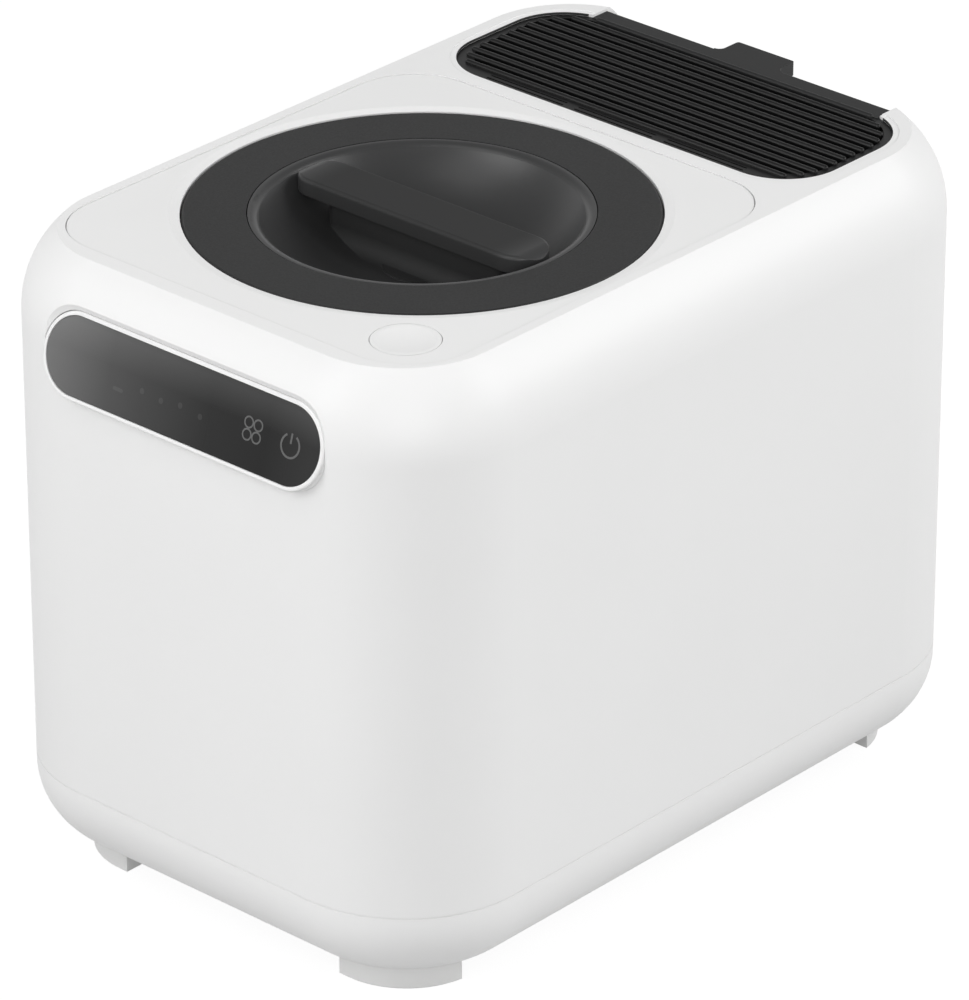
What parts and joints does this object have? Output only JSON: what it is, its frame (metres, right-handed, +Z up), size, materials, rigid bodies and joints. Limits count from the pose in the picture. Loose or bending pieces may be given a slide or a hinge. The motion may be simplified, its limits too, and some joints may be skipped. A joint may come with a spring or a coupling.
{
  "type": "electric food waste composter",
  "caption": "White rounded counter-top food waste composter with a dark turn-lock bowl lid, tilted touch display, round deck button and a ribbed rear vent cover over a lift-out filter.",
  "frame": {"origin": "on the table, under the middle of the outline", "axes": "+X to the right seen from the front, +Y to the rear, +Z up; the display faces -Y"},
  "size_m": [0.24, 0.357, 0.274],
  "materials": {
    "white_shell": "satin",
    "deck_white": "fine matt",
    "foot_white": "matt",
    "dark_lid": "fine matt",
    "dark_vent": "fine matt",
    "display_smoke": "polished",
    "light_diffuser": "milky",
    "circuit_board": "lacquered",
    "spring_steel": "bright",
    "stainless": "brushed",
    "bucket_aluminium": "coated",
    "heater_aluminium": "cast",
    "thermal_ceramic": "matt",
    "gearbox_grey": "moulded",
    "sintered_bronze": "sintered",
    "gear_nylon": "moulded",
    "motor_steel": "plated",
    "air_black": "moulded",
    "carbon_felt": "felted",
    "filter_foam": "open foam",
    "screw_steel": "plated",
    "bolt_acetal": "smooth",
    "seal_silicone": "soft",
    "seal_dark": "soft",
    "grip_dark": "matt",
    "switch_dark": "moulded"
  },
  "bodies": {
    "casing": {"outer_casing": "white_shell", "base_tray": "white_shell", "feet": "foot_white", "top_deck": "deck_white", "display_bezel": "white_shell", "display_window": "display_smoke", "light_guide": "light_diffuser", "touch_board": "circuit_board", "button_spring": "spring_steel", "button_switch": "switch_dark", "button_bracket": "deck_white", "chamber_liner": "stainless", "heater_plate": "heater_aluminium", "thermal_cutout": "thermal_ceramic", "gearbox_housing": "gearbox_grey", "gearbox_cover": "gearbox_grey", "gear_pins": "stainless", "output_bush": "sintered_bronze", "drive_motor": "motor_steel", "gearbox_screws": "screw_steel", "blower_housing": "air_black", "blower_cover": "air_black", "blower_motor": "motor_steel", "air_duct": "air_black", "filter_bay": "air_black", "power_board": "circuit_board", "power_inlet": "switch_dark", "lid_sensor": "switch_dark", "casing_screws": "screw_steel"},
    "push_button": {"deck_button": "deck_white"},
    "output_drive": {"output_shaft": "stainless", "output_gear": "gear_nylon"},
    "relay_low": {"relay_gear_low": "gear_nylon"},
    "relay_high": {"relay_gear_high": "gear_nylon"},
    "motor_drive": {"motor_shaft": "stainless", "motor_pinion": "sintered_bronze"},
    "blower_wheel": {"impeller": "air_black"},
    "filter_unit": {"filter_tray": "dark_vent", "carbon_pack": "carbon_felt", "prefilter_foam": "filter_foam", "vent_cover": "dark_vent"},
    "lid": {"lid_ring": "dark_lid", "lid_bottom": "dark_lid", "lid_gasket": "seal_silicone", "lid_screws": "screw_steel"},
    "turning_dish": {"lid_knob": "dark_lid", "lid_cam": "stainless"},
    "bolt_1": {"lid_bolt_1": "bolt_acetal"},
    "bolt_2": {"lid_bolt_2": "bolt_acetal"},
    "bolt_3": {"lid_bolt_3": "bolt_acetal"},
    "bucket_body": {"bucket": "bucket_aluminium", "bucket_cutters": "stainless", "shaft_seal": "seal_dark"},
    "bail": {"bucket_bail": "stainless", "bail_grip": "grip_dark"},
    "rotor": {"mixing_rotor": "stainless", "rotor_coupling": "gear_nylon"}
  },
  "joints": [
    {"name": "lid_lift", "type": "slide", "parent": "casing", "child": "lid", "axis": [0, 0, 1], "range_m": [0, 0.36]},
    {"name": "dish_turn", "type": "hinge", "parent": "lid", "child": "turning_dish", "pos_m": [0, -0.03751, 0.2488], "axis": [0, 0, 1], "range_deg": [0, 60]},
    {"name": "bolt_slide_1", "type": "slide", "parent": "lid", "child": "bolt_1", "axis": [0.866, 0.5, 0], "range_m": [0, 0.005]},
    {"name": "bolt_slide_2", "type": "slide", "parent": "lid", "child": "bolt_2", "axis": [-0.866, 0.5, 0], "range_m": [0, 0.005]},
    {"name": "bolt_slide_3", "type": "slide", "parent": "lid", "child": "bolt_3", "axis": [0, -1, 0], "range_m": [0, 0.005]},
    {"name": "bucket_lift", "type": "slide", "parent": "casing", "child": "bucket_body", "axis": [0, 0, 1], "range_m": [0, 0.18]},
    {"name": "bail_swing", "type": "hinge", "parent": "bucket_body", "child": "bail", "pos_m": [0, -0.03751, 0.2273], "axis": [1, 0, 0], "range_deg": [0, 90]},
    {"name": "rotor_spin", "type": "hinge", "parent": "bucket_body", "child": "rotor", "pos_m": [0, -0.03751, 0.104], "axis": [0, 0, 1], "continuous": true},
    {"name": "output_spin", "type": "hinge", "parent": "casing", "child": "output_drive", "pos_m": [0, -0.03751, 0.044], "axis": [0, 0, 1], "continuous": true},
    {"name": "relay_low_spin", "type": "hinge", "parent": "casing", "child": "relay_low", "pos_m": [0.02911, 0.01723, 0.034], "axis": [0, 0, 1], "continuous": true},
    {"name": "relay_high_spin", "type": "hinge", "parent": "casing", "child": "relay_high", "pos_m": [0.00929, 0.05426, 0.034], "axis": [0, 0, 1], "continuous": true},
    {"name": "motor_spin", "type": "hinge", "parent": "casing", "child": "motor_drive", "pos_m": [0.03106, 0.0784, 0.044], "axis": [0, 0, 1], "continuous": true},
    {"name": "blower_spin", "type": "hinge", "parent": "casing", "child": "blower_wheel", "pos_m": [-0.048, 0.092, 0.154], "axis": [0, 1, 0], "continuous": true},
    {"name": "filter_lift", "type": "slide", "parent": "casing", "child": "filter_unit", "axis": [0, 0, 1], "range_m": [0, 0.09]},
    {"name": "button_press", "type": "slide", "parent": "casing", "child": "push_button", "axis": [0, 0, -1], "range_m": [0, 0.002], "stiffness_N_per_m": 300, "springref_m": -0.002, "deforming": ["button_spring"]}
  ],
  "couplings": [
    {"joint": "bolt_slide_1", "follows": "dish_turn", "m_per_rad": 0.004774},
    {"joint": "bolt_slide_2", "follows": "dish_turn", "m_per_rad": 0.004774},
    {"joint": "bolt_slide_3", "follows": "dish_turn", "m_per_rad": 0.004774},
    {"joint": "bucket_lift", "follows": "lid_lift", "ratio": 0.5},
    {"joint": "bail_swing", "follows": "lid_lift", "rad_per_m": 4.363},
    {"joint": "output_spin", "follows": "rotor_spin", "ratio": 1},
    {"joint": "relay_low_spin", "follows": "rotor_spin", "ratio": -3.4286},
    {"joint": "relay_high_spin", "follows": "rotor_spin", "ratio": 10.286},
    {"joint": "motor_spin", "follows": "rotor_spin", "ratio": -34.286}
  ]
}
